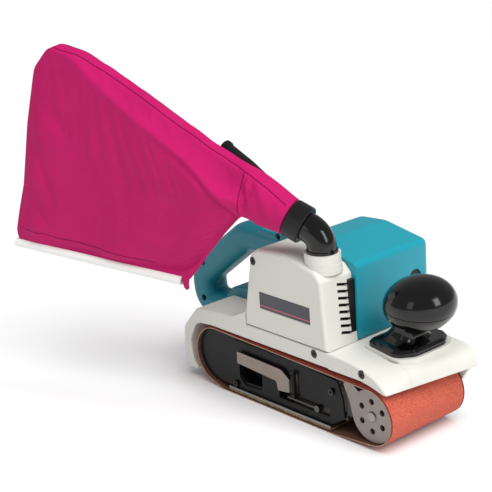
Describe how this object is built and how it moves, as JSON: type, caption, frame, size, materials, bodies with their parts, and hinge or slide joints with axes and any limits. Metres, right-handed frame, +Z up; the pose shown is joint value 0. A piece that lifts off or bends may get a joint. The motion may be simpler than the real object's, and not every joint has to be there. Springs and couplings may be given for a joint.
{
  "type": "handheld belt sander",
  "caption": "Handheld belt sander with transverse motor, D-handle, front knob, looped sanding belt on two rollers, tension lever and a swivelling dust elbow carrying a cloth bag.",
  "frame": {"origin": "centre of the sanding face under the platen", "axes": "+X to the front roller, +Y to the motor side, +Z up"},
  "size_m": [0.4377, 0.2855, 0.3539],
  "materials": {
    "housing_grey": "fine moulded texture",
    "housing_teal": "fine moulded texture",
    "handle_teal": "fine moulded texture",
    "black_plastic": "moulded, satin",
    "gloss_black": "polished mould",
    "rail_white": "extruded, satin",
    "badge": "printed plate, no text",
    "screw_steel": "black oxide",
    "black_rubber": "matt rubber",
    "belt_rubber": "moulded rubber",
    "roller_rubber": "ground rubber",
    "abrasive_cloth": "aluminium oxide grain on cloth",
    "bag_fabric": "woven nylon, magenta",
    "platen_steel": "pressed sheet",
    "cork": "cork sheet",
    "graphite": "graphite cloth",
    "machined_steel": "turned",
    "bearing_steel": "ground",
    "machined_alloy": "turned",
    "cast_alloy": "die cast",
    "end_plate_alloy": "die cast, bead blasted",
    "lamination": "stacked laminations, varnished",
    "copper": "drawn copper bars",
    "brass": "drawn",
    "spring_steel": "oiled wire",
    "dark_plate": "black paint",
    "lever_steel": "zinc plated"
  },
  "bodies": {
    "frame": {"main_frame": "housing_grey", "skirt_cover": "housing_grey", "dust_cover": "housing_grey", "vent_grille": "black_plastic", "badge_plate": "badge", "cover_screws": "screw_steel", "motor_housing": "housing_teal", "belt_cover": "black_plastic", "gear_cover": "housing_grey", "case_screws": "screw_steel", "handle_near": "handle_teal", "handle_far": "handle_teal", "handle_screws": "screw_steel", "cord_guard": "black_rubber", "switch_body": "black_plastic", "knob_base": "gloss_black", "knob_lower": "gloss_black", "knob_cap": "gloss_black", "knob_screws": "screw_steel", "platen": "platen_steel", "cork_pad": "cork", "graphite_pad": "graphite", "side_plate": "dark_plate", "side_plate_screws": "screw_steel", "lever_pin": "machined_steel", "stator": "lamination", "brush_holders": "brass", "brushes": "graphite", "brush_caps": "black_plastic", "gearbox_bearings": "bearing_steel", "motor_bearings": "bearing_steel", "timing_belt": "belt_rubber", "rear_bumper": "black_rubber", "tension_spring": "spring_steel"},
    "drive": {"drive_roller": "roller_rubber", "drive_core": "machined_steel", "driven_pulley": "machined_alloy"},
    "counter": {"countershaft": "machined_steel", "drive_pulley": "machined_alloy", "reduction_gear": "machined_steel"},
    "armature": {"armature_shaft": "machined_steel", "armature_core": "lamination", "commutator": "copper", "cooling_fan": "black_plastic", "dust_impeller": "cast_alloy"},
    "idler_carriage": {"idler_yoke": "cast_alloy", "end_plate": "end_plate_alloy", "idler_axle": "machined_steel", "pull_rod": "machined_steel"},
    "idler": {"idler_roller": "machined_alloy", "idler_bearings": "bearing_steel"},
    "belt": {"sanding_belt": "abrasive_cloth"},
    "lever": {"tension_lever": "lever_steel"},
    "trigger": {"trigger": "black_plastic"},
    "lock": {"lock_button": "black_plastic"},
    "tracking": {"tracking_knob": "black_plastic"},
    "elbow": {"dust_elbow": "gloss_black"},
    "bag": {"bag_collar": "black_plastic", "dust_bag": "bag_fabric"},
    "rail": {"bag_rail": "rail_white"}
  },
  "joints": [
    {"name": "armature_spin", "type": "hinge", "parent": "frame", "child": "armature", "pos_m": [0.028, 0.03, 0.122], "axis": [0, 1, 0], "continuous": true},
    {"name": "counter_spin", "type": "hinge", "parent": "frame", "child": "counter", "pos_m": [-0.008, 0.09, 0.09], "axis": [0, 1, 0], "continuous": true},
    {"name": "drive_spin", "type": "hinge", "parent": "frame", "child": "drive", "pos_m": [-0.08614, 0, 0.03448], "axis": [0, 1, 0], "continuous": true},
    {"name": "idler_spin", "type": "hinge", "parent": "idler_carriage", "child": "idler", "pos_m": [0.1297, 0, 0.03215], "axis": [0, 1, 0], "continuous": true},
    {"name": "carriage_slide", "type": "slide", "parent": "frame", "child": "idler_carriage", "axis": [-1, 0, 0], "range_m": [0, 0.0079]},
    {"name": "belt_removal", "type": "slide", "parent": "frame", "child": "belt", "axis": [0, -1, 0], "range_m": [0, 0.112]},
    {"name": "lever_swing", "type": "hinge", "parent": "frame", "child": "lever", "pos_m": [0.027, -0.0479, 0.035], "axis": [0, 0, 1], "range_deg": [0, 100]},
    {"name": "trigger_pull", "type": "hinge", "parent": "frame", "child": "trigger", "pos_m": [-0.058, 0.015, 0.1336], "axis": [0, 1, 0], "range_deg": [0, 8], "stiffness_Nm_per_rad": 1},
    {"name": "lock_press", "type": "slide", "parent": "frame", "child": "lock", "axis": [0, -1, 0], "range_m": [0, 0.003], "stiffness_N_per_m": 400},
    {"name": "tracking_turn", "type": "hinge", "parent": "frame", "child": "tracking", "pos_m": [0.108, 0.06, 0.056], "axis": [0, 1, 0], "range_deg": [-180, 180]},
    {"name": "elbow_swivel", "type": "hinge", "parent": "frame", "child": "elbow", "pos_m": [0.0547, -0.028, 0.165], "axis": [0, 0, 1], "range_deg": [-5, 110]},
    {"name": "bag_pull", "type": "slide", "parent": "elbow", "child": "bag", "axis": [-0.8364, -0.3428, 0.4277], "range_m": [0, 0.04]},
    {"name": "rail_slide", "type": "slide", "parent": "bag", "child": "rail", "axis": [-0.9191, -0.3767, 0.1153], "range_m": [0, 0.19]}
  ],
  "couplings": [
    {"joint": "counter_spin", "follows": "armature_spin", "ratio": -0.20312},
    {"joint": "drive_spin", "follows": "armature_spin", "ratio": -0.18056},
    {"joint": "idler_spin", "follows": "armature_spin", "ratio": -0.19764},
    {"joint": "lever_swing", "follows": "carriage_slide", "rad_per_m": 218}
  ]
}
